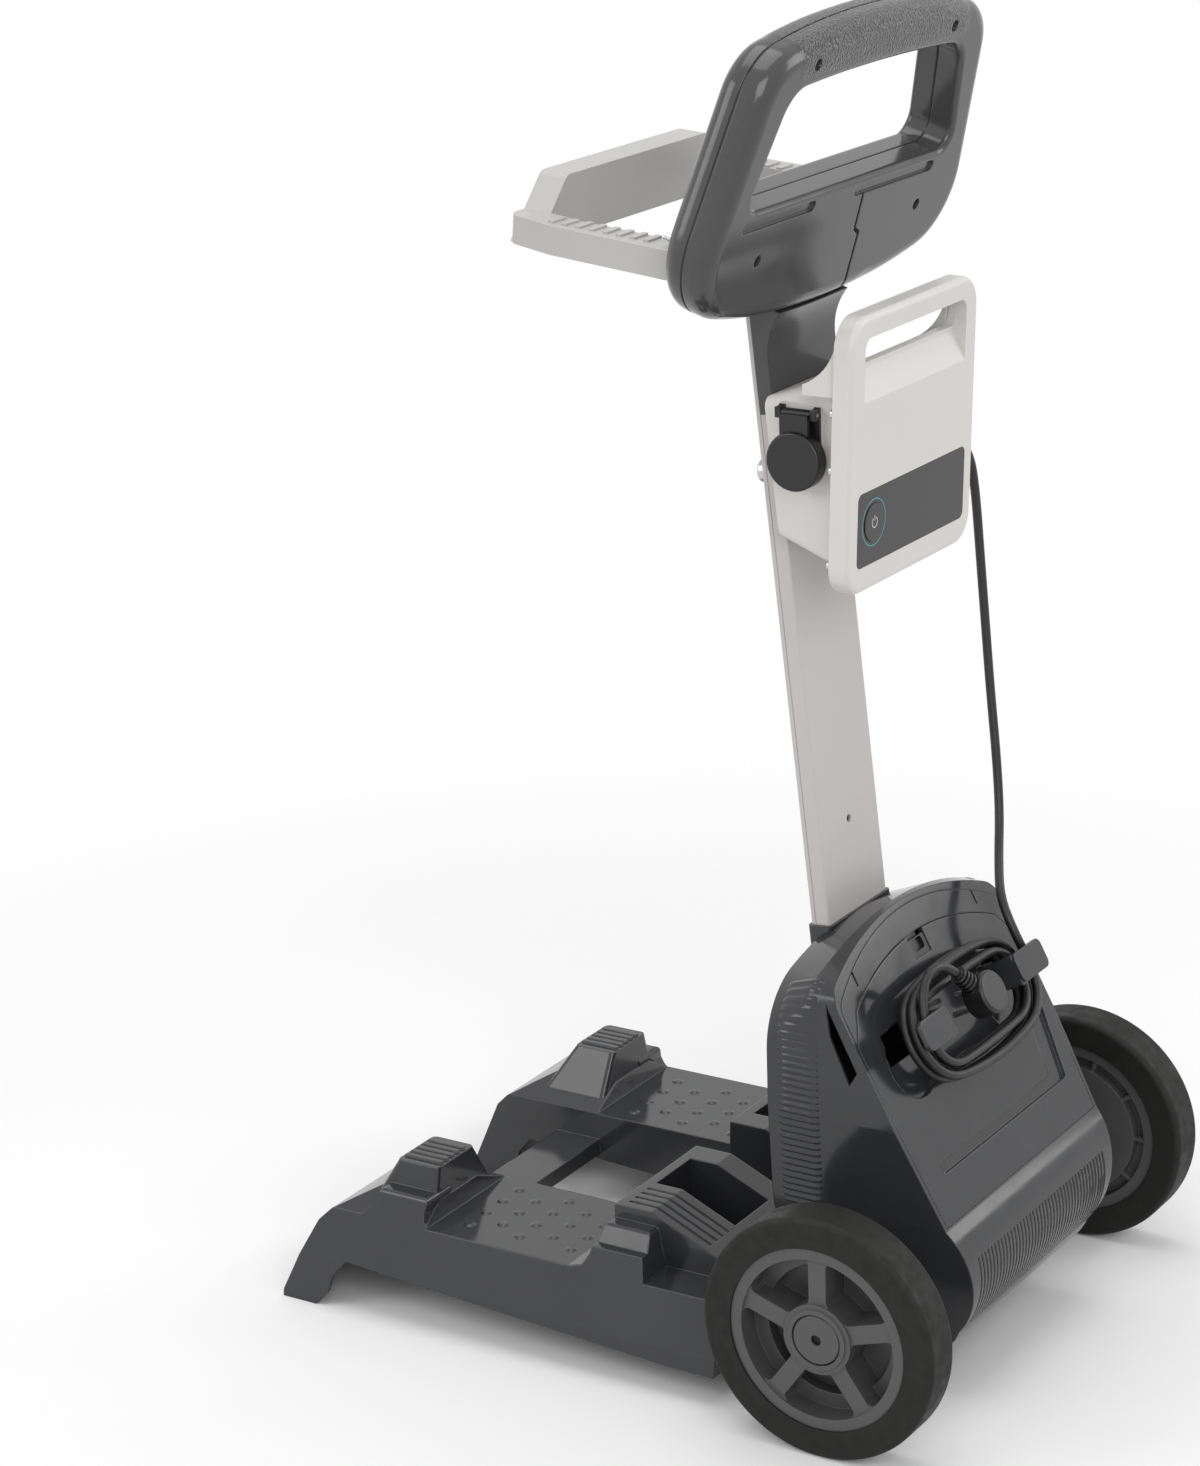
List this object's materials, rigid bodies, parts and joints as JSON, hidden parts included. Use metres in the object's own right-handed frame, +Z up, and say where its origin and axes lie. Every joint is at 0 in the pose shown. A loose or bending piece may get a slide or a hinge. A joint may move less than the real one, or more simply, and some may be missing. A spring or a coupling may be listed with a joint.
{
  "type": "pool cleaner caddy",
  "caption": "Two-wheeled caddy for a pool-cleaning robot: ribbed platform, arched housing, leaning post, D-handle, cable cradle, and a power supply with its coiled cord.",
  "frame": {"origin": "on the ground, midway between the wheels' rear and the front feet, on the middle plane", "axes": "+X to the user's left, +Y to the rear where the user stands, +Z up"},
  "size_m": [0.486, 0.632, 1.0788],
  "materials": {
    "slate_plastic": "glossy dark slate grey",
    "black_plastic": "matt black",
    "tyre_rubber": "matt black rubber",
    "steel": "plain steel",
    "bright_steel": "bright plated",
    "aluminium": "satin anodised",
    "grey_plastic": "satin light grey",
    "white_plastic": "satin off-white",
    "panel_film": "dark taupe film",
    "cord_rubber": "black sheath",
    "brass": "plated contacts",
    "board": "green laminate",
    "copper_core": "varnished winding"
  },
  "bodies": {
    "chassis": {"platform": "slate_plastic", "platform_screws": "steel", "housing_shell": "slate_plastic", "rear_cover": "slate_plastic", "rear_panel": "slate_plastic", "panel_latch": "slate_plastic", "post": "aluminium", "post_collar": "black_plastic", "post_bolts": "steel", "post_nuts": "steel", "axle": "steel", "axle_bush_left": "black_plastic", "axle_bush_right": "black_plastic", "axle_spacer_left": "black_plastic", "axle_spacer_right": "black_plastic", "axle_cap_left": "black_plastic", "axle_cap_right": "black_plastic", "handle_front_shell": "slate_plastic", "handle_rear_shell": "slate_plastic", "handle_screws": "steel", "cable_cradle": "grey_plastic", "cradle_screws": "steel", "supply_rail": "steel", "rail_bolts": "bright_steel", "cord_drop": "cord_rubber", "cord_coil": "cord_rubber", "plug_strain_relief": "cord_rubber", "plug_body": "cord_rubber", "plug_pins": "brass"},
    "left_wheel": {"left_wheel_tyre": "tyre_rubber", "left_wheel_rim": "slate_plastic", "left_wheel_bush": "black_plastic"},
    "right_wheel": {"right_wheel_tyre": "tyre_rubber", "right_wheel_rim": "slate_plastic", "right_wheel_bush": "black_plastic"},
    "power_supply": {"supply_front_cover": "white_plastic", "supply_seal": "cord_rubber", "supply_rear_case": "white_plastic", "supply_screws": "steel", "control_panel": "panel_film", "button_switch": "black_plastic", "circuit_board": "board", "transformer": "copper_core", "capacitors": "black_plastic", "heat_sink": "aluminium", "output_socket": "black_plastic", "socket_pins": "brass", "cap_hinge_pin": "steel", "cord_gland": "cord_rubber"},
    "socket_cap_body": {"socket_cap": "black_plastic"},
    "power_button_body": {"power_button": "panel_film"}
  },
  "joints": [
    {"name": "left_wheel_spin", "type": "hinge", "parent": "chassis", "child": "left_wheel", "pos_m": [0.2245, 0.216, 0.1], "axis": [1, 0, 0], "continuous": true},
    {"name": "right_wheel_spin", "type": "hinge", "parent": "chassis", "child": "right_wheel", "pos_m": [-0.2245, 0.216, 0.1], "axis": [1, 0, 0], "continuous": true},
    {"name": "supply_lift", "type": "slide", "parent": "chassis", "child": "power_supply", "axis": [0, -0.1007, 0.9949], "range_m": [0, 0.022]},
    {"name": "socket_cap_open", "type": "hinge", "parent": "power_supply", "child": "socket_cap_body", "pos_m": [0.084, 0.124, 0.78], "axis": [0, -1, 0], "range_deg": [0, 110]},
    {"name": "power_button_press", "type": "slide", "parent": "power_supply", "child": "power_button_body", "axis": [0, -0.999, 0.0436], "range_m": [0, 0.0008], "stiffness_N_per_m": 600}
  ]
}
